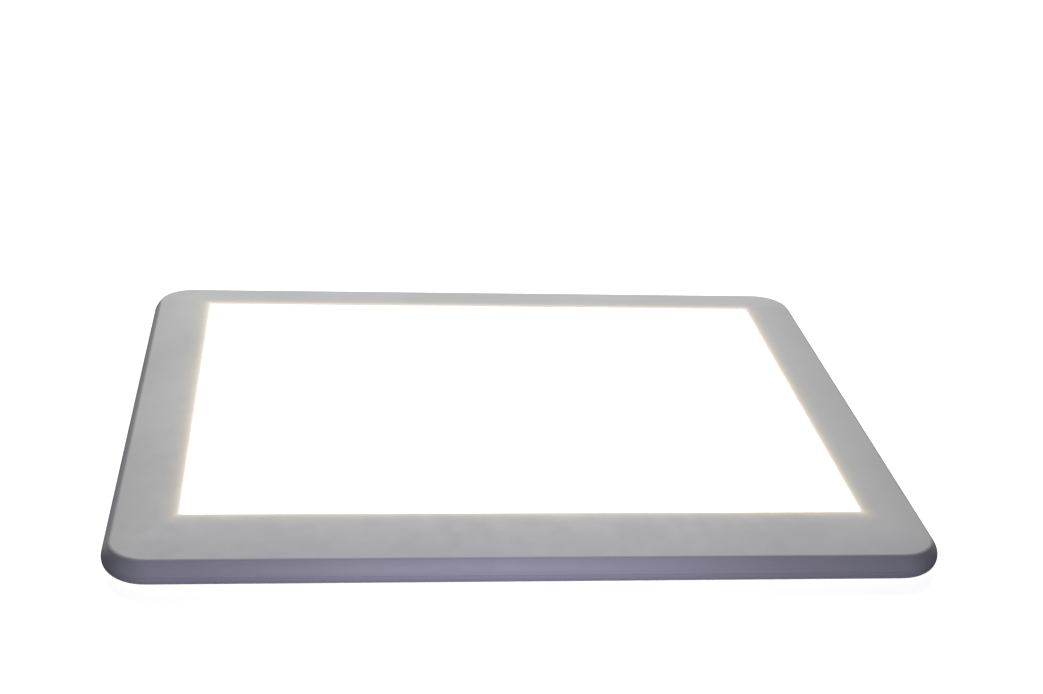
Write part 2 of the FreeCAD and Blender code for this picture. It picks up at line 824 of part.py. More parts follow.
def hinge_pin():
    """Steel pin across the back, through the leg's barrel."""
    return rod(hinge_x, -pin_half_length, pin_half_length, hinge_z, pin_diameter / 2)


def friction_washers():
    """Washers on the pin that the leg's barrel turns against."""
    washers = []
    for side_y in (-1, 1):
        low, high = sorted((side_y * (recess_half_width - washer_thickness),
                            side_y * recess_half_width))
        ring = rod(hinge_x, low, high, hinge_z, washer_diameter / 2)
        washers.append(ring.cut(rod(hinge_x, low, high, hinge_z,
                                    pin_diameter / 2 + pin_running_fit)))
    return Part.makeCompound(washers)


def pin_straps():
    """Steel straps over the saddles that hold the hinge pin down."""
    y = (recess_half_width + hinge_cheek + saddle_end) / 2
    hole = small_screw_diameter / 2 + 2 * screw_fit
    straps = []
    for side_y in (-1, 1):
        middle = side_y * y
        strap = plate(hinge_x - strap_half_length, hinge_x + strap_half_length,
                      middle - strap_width / 2, middle + strap_width / 2, 1.0,
                      saddle_top, saddle_top + strap_thickness)
        straps.append(strap.cut([post(x, place_y, hole, saddle_top,
                                      saddle_top + strap_thickness)
                                 for x, place_y in strap_screw_places()]))
    return Part.makeCompound(straps)


# Power inlet, button and their board

def jack_body():
    """Black moulding of the power inlet, with a round nose in the wall and a bore for the plug."""
    nose_end = case_half_width - jack_nose_sink
    back = nose_end - jack_depth
    block = box(jack_x - jack_width / 2, jack_x + jack_width / 2, back,
                inner_wall_y - button_flange_rest, jack_z - jack_height / 2,
                jack_z + jack_height / 2)
    body = block.fuse(rod(jack_x, back, nose_end, jack_z, jack_nose_diameter / 2))
    bore_end = nose_end - jack_bore_depth
    body = body.cut(rod(jack_x, bore_end, nose_end, jack_z, jack_bore / 2))
    pin_root = rod(jack_x, back, bore_end, jack_z, jack_pin / 2)
    leaf_slot = box(jack_x - 1.0, jack_x + 1.0, bore_end + 1.0, bore_end + 6.0, jack_z,
                    jack_z + jack_height / 2)
    return body.cut([pin_root, leaf_slot]).removeSplitter()


def jack_center_pin():
    """Plated pin in the middle of the inlet's bore."""
    nose_end = case_half_width - jack_nose_sink
    return rod(jack_x, nose_end - jack_depth, nose_end - 1.2, jack_z, jack_pin / 2)


def jack_contact():
    """Spring leaf over the bore that meets the plug's sleeve."""
    bore_end = case_half_width - jack_nose_sink - jack_bore_depth
    leaf_bottom = jack_z + jack_bore / 2
    return box(jack_x - 0.9, jack_x + 0.9, bore_end + 1.0, bore_end + 6.0,
               leaf_bottom, leaf_bottom + 0.3)


def power_button():
    """Pill-shaped cap with a flange that keeps it behind the wall."""
    outer_end = case_half_width + button_proud
    cap = pill(button_x, jack_z, button_length, button_height, flange_outer, outer_end)
    rim = [edge for edge in cap.Edges
           if all(abs(vertex.Y - outer_end) < tiny for vertex in edge.Vertexes)]
    cap = cap.makeFillet(button_proud / 2, rim)
    flange = pill(button_x, jack_z, button_length + 2 * (button_fit + button_flange_rim),
                  button_height + 2 * (button_fit + button_flange_rim),
                  flange_inner, flange_outer)
    return cap.fuse(flange).removeSplitter()


def tact_switch():
    """Side-pushed switch behind the button, with the hole that its stem slides in."""
    body = box(button_x - switch_length / 2, button_x + switch_length / 2,
               switch_front - switch_depth, switch_front,
               inlet_board_top, inlet_board_top + switch_height)
    hole_end = switch_front - stem_root - button_travel - button_fit
    return body.cut(rod(button_x, hole_end, switch_front, jack_z,
                        stem_diameter / 2 + button_fit / 2))


def switch_stem():
    """Stem that the button's flange pushes into the switch."""
    return rod(button_x, switch_front - stem_root, flange_inner, jack_z, stem_diameter / 2)


def inlet_board():
    """Small board that carries the inlet and the switch, notched round the inlet."""
    back = inlet_board_front - inlet_board_width
    board = box(inlet_board_x, inlet_board_x + inlet_board_length, back, inlet_board_front,
                inlet_board_bottom, inlet_board_top)
    jack_back = case_half_width - jack_nose_sink - jack_depth
    notch = box(jack_x - jack_width / 2, jack_x + jack_width / 2, jack_back, inlet_board_front,
                inlet_board_bottom, inlet_board_top)
    holes = [post(x, y, small_screw_diameter / 2 + 2 * screw_fit, inlet_board_bottom,
                  inlet_board_top) for x, y in inlet_board_screw_places()]
    return board.cut([notch] + holes)


# Control board, its parts and the wires

def control_board():
    """Long board under the bezel's lower end that feeds the strips."""
    board = box(control_board_x, control_board_x + control_board_width, control_board_y,
                control_board_y + control_board_length, control_board_bottom, control_board_top)
    return board.cut([post(x, y, small_screw_diameter / 2 + 2 * screw_fit,
                           control_board_bottom, control_board_top)
                      for x, y in control_board_screw_places()])


def driver_chip():
    """Flat chip that drives the strips."""
    x = control_board_x + control_board_width / 2
    y = control_board_y + 0.44 * control_board_length
    return box(x - chip_width / 2, x + chip_width / 2, y - chip_length / 2, y + chip_length / 2,
               control_board_top, control_board_top + chip_height)


def power_inductor():
    """Square wound part with a round core face."""
    half = inductor_side / 2
    x = control_board_x + inductor_inset + half
    y = control_board_y + 0.7 * control_board_length
    body = box(x - half, x + half, y - half, y + half,
               control_board_top, control_board_top + inductor_base)
    core = post(x, y, inductor_core / 2, control_board_top, control_board_top + inductor_height)
    return body.fuse(core).removeSplitter()


def capacitors():
    """Two low round cans."""
    y = control_board_y + 0.275 * control_board_length
    cans = []
    for side_x in (-1, 1):
        x = control_board_x + control_board_width / 2 + side_x * capacitor_pitch / 2
        cans.append(post(x, y, capacitor_diameter / 2, control_board_top,
                         control_board_top + capacitor_height))
    return Part.makeCompound(cans)


def header_faces():
    """Outer faces that the wires leave from: inlet header, supply header and strip header."""
    inlet_y = inlet_header_front
    supply_x = control_board_x + control_board_width
    strip_y = control_board_y + board_edge_gap
    return inlet_y, supply_x, strip_y


def wire_headers():
    """Plug-in headers on the two boards."""
    inlet_y, supply_x, strip_y = header_faces()
    rim = wire_diameter / 2 + board_edge_gap
    span = 3 * wire_pitch() + 2 * rim
    first_x = inlet_wire_x() - rim
    last_y = supply_wire_y() + rim
    inlet = box(first_x, first_x + span, inlet_y, inlet_y + header_depth,
                inlet_board_top, inlet_board_top + header_height)
    supply = box(supply_x - header_depth, supply_x, last_y - span, last_y,
                 control_board_top, control_board_top + header_height)
    x0 = control_board_x + strip_header_inset
    x1 = x0 + strip_header_width
    header_top = strip_wire_heights()[1] + led_wire_diameter / 2
    strip = box(x0, x1, strip_y, strip_y + strip_header_depth, control_board_top, header_top)
    far_y = control_board_y + control_board_length - board_edge_gap
    strip_far = box(x0, x1, far_y - strip_header_depth, far_y, control_board_top, header_top)
    return Part.makeCompound([inlet, supply, strip, strip_far])


def strip_wire_heights():
    """Heights of the two wires of a strip, just over the roof of the finger scoop."""
    lower = scoop_top + scoop_skin + led_wire_diameter / 2 + screw_fit
    return lower, lower + led_wire_diameter + screw_fit


def wire_pitch():
    """Distance between neighbouring wires of the inlet lead."""
    return wire_diameter + wire_spacing


def inlet_wire_x():
    """X of the inlet wire that is nearest to the end of the case."""
    return jack_x - header_lead


def supply_wire_y():
    """Y of the first inlet wire where it meets the control board."""
    return control_board_y + control_board_length - header_lead


def inlet_wires():
    """Four wires from the inlet board to the control board, under the back plate."""
    inlet_y, supply_x, strip_y = header_faces()
    z = plate_bottom - wire_diameter / 2 - wire_roof_gap
    wires = []
    for index in range(4):
        x = inlet_wire_x() + index * wire_pitch()
        y = supply_wire_y() - index * wire_pitch()
        points = [V(x, inlet_y, z), V(x, y, z), V(supply_x, y, z)]
        wires.append(wire_along(points, wire_diameter))
    return Part.makeCompound(wires)


def strip_wires():
    """Two wires from the control board to the end of each light-emitting strip."""
    inlet_y, supply_x, strip_y = header_faces()
    far_y = control_board_y + control_board_length - board_edge_gap
    strip_end = -strip_half_length - strip_tail
    middle = (strip_face + strip_back) / 2
    wires = []
    for side_y, start_y in ((-1, strip_y), (1, far_y)):
        for index, z in enumerate(strip_wire_heights()):
            spread = (index - 0.5) * 2 * led_wire_diameter
            x = control_board_x + strip_header_inset + strip_header_width / 2 + spread
            points = [V(x, start_y, z), V(x, side_y * middle, z),
                      V(strip_end, side_y * middle, z)]
            wires.append(wire_along(points, led_wire_diameter))
    return Part.makeCompound(wires)


# Screws, feet and beads

def small_screws(places, seat):
    """Group of small pan-head screws that seat at one height."""
    return Part.makeCompound([screw(x, y, seat, -1, small_screw_head, small_screw_head_height,
                                    small_screw_diameter, small_screw_length)
                              for x, y in places])


def case_screws():
    """Screws up through the back into the bezel's bosses."""
    seat = case_bottom + case_screw_sink
    return Part.makeCompound([screw(x, y, seat, 1, case_screw_head, case_screw_head_height,
                                    case_screw_diameter, case_screw_length)
                              for x, y in case_screw_places()])


def rubber_feet():
    """Four round feet, glued into shallow seats in the back."""
    feet = []
    for side_x in (-1, 1):
        for side_y in (-1, 1):
            foot = post(side_x * (case_half_length - foot_inset_x),
                        side_y * (case_half_width - foot_inset_y), foot_diameter / 2, 0.0,
                        case_bottom + foot_sink)
            rim = [edge for edge in foot.Edges
                   if all(abs(vertex.Z) < tiny for vertex in edge.Vertexes)
                   and edge.Length > foot_diameter]
            feet.append(foot.makeFillet(foot_stand / 2, rim))
    return Part.makeCompound(feet)


def standing_beads():
    """Soft beads along the rounded edge that the lamp leans on when it stands."""
    x, z = bead_axis()
    beads = []
    for side_y in (-1, 1):
        middle = side_y * (case_half_width - bead_inset)
        beads.append(rod(x, middle - bead_length / 2, middle + bead_length / 2, z,
                         bead_diameter / 2))
    return Part.makeCompound(beads)


pieces = {
    "front_bezel": front_bezel(),
    "rear_shell": rear_shell(),
    "window_gasket": window_gasket(),
    "diffuser_panel": sheet(prism_film_top, diffuser_top),
    "prism_film": sheet(diffuser_film_top, prism_film_top, sheet_fit),
    "diffuser_film": sheet(guide_top, diffuser_film_top, sheet_fit),
    "light_guide": sheet(reflector_top, guide_top),
    "reflector_sheet": sheet(plate_top, reflector_top, sheet_fit),
    "back_plate": back_plate(),
    "led_strip_near": led_strip(-1),
    "led_strip_far": led_strip(1),
    "led_packages_near": led_packages(-1),
    "led_packages_far": led_packages(1),
    "thermal_tapes": thermal_tapes(),
    "kickstand": kickstand(),
    "kickstand_pad": kickstand_pad(),
    "hinge_pin": hinge_pin(),
    "friction_washers": friction_washers(),
    "pin_straps": pin_straps(),
    "jack_body": jack_body(),
    "jack_center_pin": jack_center_pin(),
    "jack_contact": jack_contact(),
    "power_button": power_button(),
    "tact_switch": tact_switch(),
    "switch_stem": switch_stem(),
    "inlet_board": inlet_board(),
    "control_board": control_board(),
    "driver_chip": driver_chip(),
    "power_inductor": power_inductor(),
    "capacitors": capacitors(),
    "wire_headers": wire_headers(),
    "inlet_wires": inlet_wires(),
    "strip_wires": strip_wires(),
    "case_screws": case_screws(),
    "plate_screws": small_screws(plate_screw_places(), plate_top),
    "strap_screws": small_screws(strap_screw_places(), saddle_top + strap_thickness),
    "board_screws": Part.makeCompound([
        small_screws(control_board_screw_places(), control_board_top),
        small_screws(inlet_board_screw_places(), inlet_board_top)]),
    "rubber_feet": rubber_feet(),
    "standing_beads": standing_beads(),
}

os.makedirs("parts", exist_ok=True)
for node, shape in pieces.items():
    shape.exportStep(os.path.join("parts", node + ".step"))
    print(node, len(shape.Solids), "solids", round(shape.Volume, 1), "mm3", shape.isValid())
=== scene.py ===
import math

import bmesh
import bpy
from mathutils import Matrix, Vector


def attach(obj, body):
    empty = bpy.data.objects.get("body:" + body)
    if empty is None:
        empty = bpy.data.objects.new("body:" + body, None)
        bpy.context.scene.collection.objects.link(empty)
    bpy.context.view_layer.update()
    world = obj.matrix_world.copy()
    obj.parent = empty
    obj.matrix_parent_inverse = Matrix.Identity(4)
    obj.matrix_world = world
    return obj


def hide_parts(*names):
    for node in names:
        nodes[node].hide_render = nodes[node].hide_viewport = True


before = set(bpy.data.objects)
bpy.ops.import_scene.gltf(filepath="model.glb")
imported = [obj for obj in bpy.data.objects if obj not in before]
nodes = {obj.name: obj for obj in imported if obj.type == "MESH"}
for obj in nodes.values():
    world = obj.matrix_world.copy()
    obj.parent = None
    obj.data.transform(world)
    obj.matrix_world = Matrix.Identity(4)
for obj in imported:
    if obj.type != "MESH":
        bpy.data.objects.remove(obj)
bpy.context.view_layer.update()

# Camera: at the photograph's viewing angle, above the near long side of the lamp. Its place, turns
# and lens were fitted to the outline of the case and of the lit window, with the lens centred.
photo_width = 1043
sensor_width = 36.0
lens_pixels = 1743.2
camera_place = Vector((-0.06829, -0.57529, 0.28757))
turn_right = math.radians(7.3518)
look_down = math.radians(23.6661)
lean = math.radians(3.3994)

forward = Vector((math.sin(turn_right) * math.cos(look_down),
                  math.cos(turn_right) * math.cos(look_down), -math.sin(look_down)))
level = Vector((math.cos(turn_right), -math.sin(turn_right), 0.0))
upright = level.cross(forward)
across = math.cos(lean) * level + math.sin(lean) * upright
upward = math.cos(lean) * upright - math.sin(lean) * level

camera_data = bpy.data.cameras.new("camera")
camera_data.sensor_fit = "HORIZONTAL"
camera_data.sensor_width = sensor_width
camera_data.lens = lens_pixels * sensor_width / photo_width
camera_data.clip_start = 0.01
camera = bpy.data.objects.new("camera", camera_data)
turned = Matrix((across, upward, -forward)).transposed().to_4x4()
camera.matrix_world = Matrix.Translation(camera_place) @ turned
bpy.context.collection.objects.link(camera)
bpy.context.scene.camera = camera


# Rear shell: a shallow tray injection-moulded in white ABS, with every screw boss, the seats of the
# feet and the recess of the stand in one piece. Its tool is spark-eroded to a fine even satin.
shell_light = "#D3D2D9"
shell_dark = "#CCCBD3"
shell_roughness = 0.56
shell_grain = 0.00040
shell_grain_depth = 0.000010
abs_index = 1.53
cloud_size = 0.045
patch_size = 0.005
gloss_spread = 0.04


def linear(code):
    """Linear colour of an sRGB hex code."""
    channels = [int(code[place:place + 2], 16) / 255 for place in (1, 3, 5)]
    return tuple(c / 12.92 if c <= 0.04045 else ((c + 0.055) / 1.055) ** 2.4
                 for c in channels) + (1.0,)


def add(tree, kind, settings=None, **links):
    """Adds a node. A link or value goes to the socket of its name, or of its number after _."""
    node = tree.nodes.new("ShaderNode" + kind)
    for name, value in (settings or {}).items():
        if name == "stops":
            elements = node.color_ramp.elements
            while len(elements) < len(value):
                elements.new(1.0)
            for element, (position, colour) in zip(elements, value):
                element.position = position
                element.color = linear(colour) if isinstance(colour, str) else colour
        elif name == "interpolation":
            node.color_ramp.interpolation = value
        else:
            setattr(node, name, value)
    for name, value in links.items():
        socket = node.inputs[int(name[1:]) if name[0] == "_" else name.replace("_", " ")]
        if isinstance(value, bpy.types.Node):
            tree.links.new(value.outputs[0], socket)
        elif isinstance(value, bpy.types.NodeSocket):
            tree.links.new(value, socket)
        else:
            socket.default_value = value
    return node


def new_surface(name):
    """New material, its empty node tree, and the object's own coordinates in metres."""
    material = bpy.data.materials.new(name)
    material.use_nodes = True
    tree = material.node_tree
    tree.nodes.clear()
    return material, tree, add(tree, "TexCoord").outputs["Object"]


def finish_surface(tree, **sockets):
    """Closes a material with one shader, whose sockets take these links and constant values."""
    add(tree, "OutputMaterial", Surface=add(tree, "BsdfPrincipled", **sockets))


def moulded(name, light, dark, roughness, grain, depth, **sockets):
    """Moulded plastic: faint clouds of tone, patchy gloss, and the fine even grain of its tool."""
    material, tree, place = new_surface(name)
    cloud = add(tree, "TexNoise", Vector=place, Scale=1 / cloud_size, Detail=2.0)
    tone = add(tree, "ValToRGB", {"stops": ((0.35, dark), (0.65, light))}, Fac=cloud)
    patch = add(tree, "TexNoise", Vector=place, Scale=1 / patch_size, Detail=2.0)
    gloss = add(tree, "MapRange", _0=patch, _1=0.3, _2=0.7,
                _3=roughness - gloss_spread, _4=roughness + gloss_spread)
    fine = add(tree, "TexNoise", Vector=place, Scale=1 / grain, Detail=3.0)
    relief = add(tree, "Bump", Height=fine, Distance=depth)
    finish_surface(tree, Base_Color=tone, Roughness=gloss, Normal=relief, **sockets)
    return material


def dress(material, *names):
    """Gives every slot of the named CAD nodes this material."""
    for name in names:
        for slot in nodes[name].material_slots:
            slot.material = material


# Eroded ABS: a broad soft sheen over a grain that is finer than a hair. The grain is drawn at
# 0.4 mm, about three times as coarse as it is, so that a close view still shows it.
dress(moulded("eroded_cool_white_abs", shell_light, shell_dark, shell_roughness, shell_grain,
              shell_grain_depth, IOR=abs_index), "rear_shell")


# Label: a blank polyester film in the shallow recess of the back, stuck down flush with the shell.
# The steel-rule die that cuts it leaves its rim rolled over a little.
label_bounds = ((0.0506, 0.1026), (-0.032, 0.032))
label_floor = 0.0010
label_thickness = 0.00014
label_gap = 0.0003
label_corner = 0.0040
label_roll = 0.00006
label_corner_steps = 8


def into_scene(name, points, faces, material, body, slot):
    """Object of this mesh, in metres, with one material, riding on a body of the frame."""
    mesh = bpy.data.meshes.new(name)
    mesh.from_pydata(points, [], faces)
    shape = bmesh.new()
    shape.from_mesh(mesh)
    bmesh.ops.recalc_face_normals(shape, faces=shape.faces)
    shape.to_mesh(mesh)
    shape.free()
    mesh.materials.append(material)
    piece = bpy.data.objects.new(name, mesh)
    bpy.context.collection.objects.link(piece)
    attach(piece, body)
    return piece


def stacked(rings):
    """Points and faces of a closed body whose rings lie one after another, closed at both ends."""
    count = len(rings[0])
    points = [point for ring in rings for point in ring]
    faces = [tuple(range(count)), tuple(range(len(points) - count, len(points)))]
    for level_number in range(len(rings) - 1):
        start = level_number * count
        for step in range(count):
            after = (step + 1) % count
            faces.append((start + step, start + after, start + count + after,
                          start + count + step))
    return points, faces


def label_ring(inset, height):
    """Rounded rectangle of the label's outline, inset and at a height, as a list of points."""
    radius = label_corner - inset
    (low_x, high_x), (low_y, high_y) = label_bounds
    middle = ((low_x + high_x) / 2, (low_y + high_y) / 2)
    reach = ((high_x - low_x) / 2 - inset - radius, (high_y - low_y) / 2 - inset - radius)
    ring = []
    for quarter, (side_x, side_y) in enumerate(((1, 1), (-1, 1), (-1, -1), (1, -1))):
        for step in range(label_corner_steps + 1):
            turn = math.radians(90 * (quarter + step / label_corner_steps))
            ring.append((middle[0] + side_x * reach[0] + radius * math.cos(turn),
                         middle[1] + side_y * reach[1] + radius * math.sin(turn), height))
    return ring


# Matt polyester: silver-white film, its print coating broken up by very fine even flecks.
label_film = moulded("matt_coated_polyester", "#D0D0D8", "#C6C6CF", 0.5, 0.00025, 0.000005,
                     IOR=1.57)
label_rings = [label_ring(label_gap, label_floor),
               label_ring(label_gap, label_floor - label_thickness + label_roll),
               label_ring(label_gap + label_roll, label_floor - label_thickness)]
into_scene("blank_label", *stacked(label_rings), label_film, "case", "white_film")


# Feet and standing beads: grey silicone rubber, moulded and glued into shallow seats, four round
# feet under the back and two beads along the edge that the lamp stands on. Each foot has a dished
# centre and three rings round it that grip the table.
rubber_light = "#87878C"
rubber_dark = "#7A7A80"
foot_x = 0.110
foot_y = 0.0899
foot_places = [(side_x * foot_x, side_y * foot_y) for side_x in (-1, 1) for side_y in (-1, 1)]
foot_radius = 0.0060
foot_top = 0.0014
foot_profile = ((0.0002, 0.00035), (0.0016, 0.00032), (0.0021, 0.00016), (0.0024, 0.00002),
                (0.0029, 0.0), (0.0030, 0.00022), (0.0033, 0.00022), (0.0034, 0.0),
                (0.0039, 0.0), (0.0040, 0.00022), (0.0043, 0.00022), (0.0044, 0.0),
                (0.0050, 0.0), (0.0054, 0.00006), (0.0058, 0.00025), (0.0060, 0.0006))
foot_sides = 72

# Moulded rubber: matt, with a dusting of paler specks and hardly any reflection.
rubber = moulded("moulded_silicone_rubber", rubber_light, rubber_dark, 0.78, 0.0006, 0.00002,
                 IOR=1.43, Specular_IOR_Level=0.3)
dress(rubber, "standing_beads")

feet_points = []
feet_faces = []
for centre_x, centre_y in foot_places:
    rings = [[(centre_x + radius * math.cos(math.tau * step / foot_sides),
               centre_y + radius * math.sin(math.tau * step / foot_sides), height)
              for step in range(foot_sides)]
             for radius, height in foot_profile + ((foot_radius, foot_top),)]
    points, faces = stacked(rings)
    feet_faces += [tuple(len(feet_points) + corner for corner in face) for face in faces]
    feet_points += points
feet = into_scene("ringed_feet", feet_points, feet_faces, rubber, "case", "soft_rubber")
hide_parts("rubber_feet")


# Stand: a flat ABS leg with ribs on its inner face, which turns on a steel pin between two acetal
# washers. The pin lies in open saddles under two steel straps, each held by two screws.
leg_light = "#CFCED5"
leg_dark = "#C8C7CF"
pad_outline = ((-0.1269, 0.00270), (-0.1266, 0.0030), (-0.1235, 0.0030), (-0.1235, 0.0010),
               (-0.1264, 0.0010), (-0.1268, 0.00115), (-0.1269, 0.00150))
pad_seated = (1, 2, 3)
pad_half_length = 0.0240
pad_ridges = 24
pad_groove = 0.00035
pad_foot = 0.0010
pad_stations = ((0.0, True), (0.2, True), (0.35, False), (0.85, False))


def drawn_metal(name, light, dark, roughness, stretch, **sockets):
    """Metal with fine lines along one axis, where the stretch of that axis is small."""
    material, tree, place = new_surface(name)
    lay = add(tree, "Mapping", _0=place, _3=stretch)
    lines = add(tree, "TexNoise", Vector=lay, Scale=1 / 0.0004, Detail=4.0)
    tone = add(tree, "ValToRGB", {"stops": ((0.3, dark), (0.7, light))}, Fac=lines)
    gloss = add(tree, "MapRange", _0=lines, _1=0.3, _2=0.7, _3=roughness - 0.06,
                _4=roughness + 0.08)
    relief = add(tree, "Bump", Height=lines, Distance=0.000004)
    finish_surface(tree, Base_Color=tone, Roughness=gloss, Metallic=1.0, Normal=relief, **sockets)
    return material


def pad_ring(y, deep):
    """Section of the pad at y, pulled in on its open faces where there is a groove."""
    pull = pad_groove if deep else 0.0
    return [(x, y, z) if corner in pad_seated else (x + pull, y, max(z, pad_foot + pull))
            for corner, (x, z) in enumerate(pad_outline)]


# Ribbed rubber pad: the tip that the leg stands on, with a ridge every 2 mm against sliding.
pad_pitch = 2 * pad_half_length / pad_ridges
pad_rings = []
for ridge in range(pad_ridges):
    start = -pad_half_length + ridge * pad_pitch
    for share, deep in pad_stations:
        pad_rings.append(pad_ring(start + share * pad_pitch, deep))
pad_rings.append(pad_ring(pad_half_length, True))
pad = into_scene("ribbed_pad", *stacked(pad_rings), rubber, "kickstand", "soft_rubber")
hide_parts("kickstand_pad")

# Eroded ABS again: the leg comes from its own tool, whose grain is a shade coarser.
dress(moulded("eroded_leg_abs", leg_light, leg_dark, 0.58, 0.00045, 0.000012, IOR=abs_index),
      "kickstand")
# Ground steel: bright, with fine rings round the pin from the grinding wheel.
dress(drawn_metal("ground_steel", "#D2D2D4", "#A9A9AD", 0.24, (0.05, 1.0, 0.05)), "hinge_pin")
# Turned acetal: milky white and a little waxy.
dress(moulded("turned_acetal", "#EFEEE8", "#E4E3DC", 0.38, 0.0003, 0.000004, IOR=1.48,
              Subsurface_Weight=0.1, Subsurface_Scale=0.001), "friction_washers")
# Zinc-plated steel: pressed strip with a blue-white passivation, lines along the strip.
dress(drawn_metal("zinc_plated_steel", "#C9CDD3", "#A7ABB3", 0.34, (0.1, 1.0, 1.0)), "pin_straps")
# Nickel-plated steel: warm white screws, rolled bright, with faint rings from the header.
nickel = drawn_metal("nickel_plated_steel", "#CBC6BC", "#A8A298", 0.28, (1.0, 1.0, 0.1))
dress(nickel, "strap_screws", "board_screws", "plate_screws", "case_screws")


# Inlet and button: a black barrel inlet and a side-pushed switch on one small board, with the
# button's cap sliding in the shell's wall in front of the switch.
mask_green = "#1E5B39"
mask_over_copper = "#2F7A4E"
button_light = "#DAD9DF"
button_dark = "#D4D3DA"


def circuit_board(name, bare, over_copper):
    """Glass-epoxy board: solder mask with paler runs of copper track under it."""
    material, tree, place = new_surface(name)
    runs = add(tree, "TexBrick", {"offset": 0.5}, Vector=place, Scale=1.0, Color1=linear(bare),
               Color2=linear(bare), Mortar=linear(over_copper), Mortar_Size=0.00018,
               Mortar_Smooth=0.2, Brick_Width=0.0031, Row_Height=0.0013)
    weave = add(tree, "TexNoise", Vector=place, Scale=1 / 0.0006, Detail=2.0)
    gloss = add(tree, "MapRange", _0=weave, _3=0.28, _4=0.42)
    relief = add(tree, "Bump", Height=runs.outputs["Fac"], Distance=0.00003)
    finish_surface(tree, Base_Color=runs, Roughness=gloss, Normal=relief, IOR=1.55)
    return material


# Solder mask: satin green lacquer over 35 micron copper, drawn with 0.2 mm tracks.
green_board = circuit_board("green_solder_mask", mask_green, mask_over_copper)
dress(green_board, "inlet_board", "control_board")
# Moulded PBT: black, fairly shiny, with slight flow clouds.
black_plastic = moulded("moulded_black_pbt", "#1D1D1F", "#161618", 0.36, 0.0003, 0.000006, IOR=1.55)
dress(black_plastic, "jack_body", "tact_switch")
# Nickel-plated brass: pale gold-grey, polished by the plating.
dress(drawn_metal("nickel_plated_brass", "#D3CBB6", "#B5AC96", 0.2, (1.0, 0.1, 1.0)),
      "jack_center_pin", "jack_contact")
# Fine-polished ABS: the cap is smoother than the case, because a finger rubs it.
dress(moulded("fine_satin_abs", button_light, button_dark, 0.36, 0.0003, 0.000003, IOR=abs_index),
      "power_button", "switch_stem")


# Control board: a driver chip, a wound inductor and two capacitors that feed the strips, with
# push-in headers, four supply wires, and two thin wires to each strip.

# Transfer-moulded epoxy: dull black with a fine sandy surface, and no marking.
dress(moulded("transfer_moulded_epoxy", "#242426", "#1C1C1E", 0.6, 0.0002, 0.000008, IOR=1.55),
      "driver_chip")
# Sintered ferrite: dark grey ceramic with fine pits.
dress(moulded("sintered_ferrite", "#3C3C40", "#2C2C30", 0.55, 0.0004, 0.00003, IOR=1.8),
      "power_inductor")
# Drawn aluminium can: soft grey lines up the side.
dress(drawn_metal("drawn_aluminium_can", "#CFD0D2", "#B2B3B6", 0.3, (1.0, 1.0, 0.05)), "capacitors")
# Moulded nylon: cream, slightly waxy.
dress(moulded("moulded_natural_nylon", "#EAE4D2", "#DFD8C4", 0.42, 0.0003, 0.000006, IOR=1.53),
      "wire_headers")


def wire_jacket(name, stops):
    """Extruded PVC, one colour for each wire, with faint lines along it."""
    material, tree, place = new_surface(name)
    each = add(tree, "NewGeometry").outputs["Random Per Island"]
    tone = add(tree, "ValToRGB", {"stops": stops, "interpolation": "CONSTANT"}, Fac=each)
    fine = add(tree, "TexNoise", Vector=place, Scale=1 / 0.0005, Detail=2.0)
    gloss = add(tree, "MapRange", _0=fine, _3=0.3, _4=0.45)
    relief = add(tree, "Bump", Height=fine, Distance=0.000008)
    finish_surface(tree, Base_Color=tone, Roughness=gloss, Normal=relief, IOR=1.53)
    return material


dress(wire_jacket("extruded_pvc", ((0.0, "#B3261E"), (0.5, "#1B1B1D"))), "inlet_wires",
      "strip_wires")


# Back plate: 0.8 mm aluminium sheet, folded up behind both strips to take their heat, with thermal
# tape between. Each strip is a narrow white board with a row of thirty emitters.
led_row = 0.2212
led_count = 30
led_pitch = led_row / led_count
phosphor_half = 0.0011

# Rolled aluminium: grey-white metal with long faint lines along the rolling direction.
dress(drawn_metal("rolled_aluminium", "#D5D6D8", "#BABBBE", 0.38, (0.03, 1.0, 1.0)), "back_plate")
# Thermal tape: matt white acrylic filled with ceramic, with a fibre in it.
dress(moulded("filled_acrylic_tape", "#E3E5E8", "#D3D6DB", 0.7, 0.0005, 0.00001, IOR=1.49),
      "thermal_tapes")
# White solder mask: bright satin lacquer, so that stray light goes back into the guide.
dress(circuit_board("white_solder_mask", "#F1F1EC", "#E2E0D4"), "led_strip_near", "led_strip_far")

# Polyamide and phosphor: white housings round a window of yellow phosphor that faces the guide.
emitter, tree, place = new_surface("polyamide_and_phosphor")
along = add(tree, "SeparateXYZ", Vector=place).outputs["X"]
phase = add(tree, "Math", {"operation": "PINGPONG"}, _0=along, _1=led_pitch / 2)
window = add(tree, "Math", {"operation": "GREATER_THAN"}, _0=phase,
             _1=led_pitch / 2 - phosphor_half)
tone = add(tree, "ValToRGB", {"stops": ((0.0, "#F4F3EE"), (1.0, "#F3D766"))}, Fac=window)
shine = add(tree, "ValToRGB", {"stops": ((0.0, "#000000"), (1.0, "#FFF4D8"))}, Fac=window)
fine = add(tree, "TexNoise", Vector=place, Scale=1 / 0.0003, Detail=2.0)
finish_surface(tree, Base_Color=tone, Roughness=0.4, IOR=1.53, Emission_Color=shine,
               Emission_Strength=2.0, Normal=add(tree, "Bump", Height=fine, Distance=0.000005))
dress(emitter, "led_packages_near", "led_packages_far")


# Light stack: a white reflector, the acrylic guide with white dots printed under it, a diffuser
# film and a prism film. They are cut sheets that lie loose on each other.

# Voided polyester: bright matt white with faint clouds.
dress(moulded("voided_polyester", "#FAFAF8", "#F3F3F1", 0.55, 0.0004, 0.000004, IOR=1.57),
      "reflector_sheet")

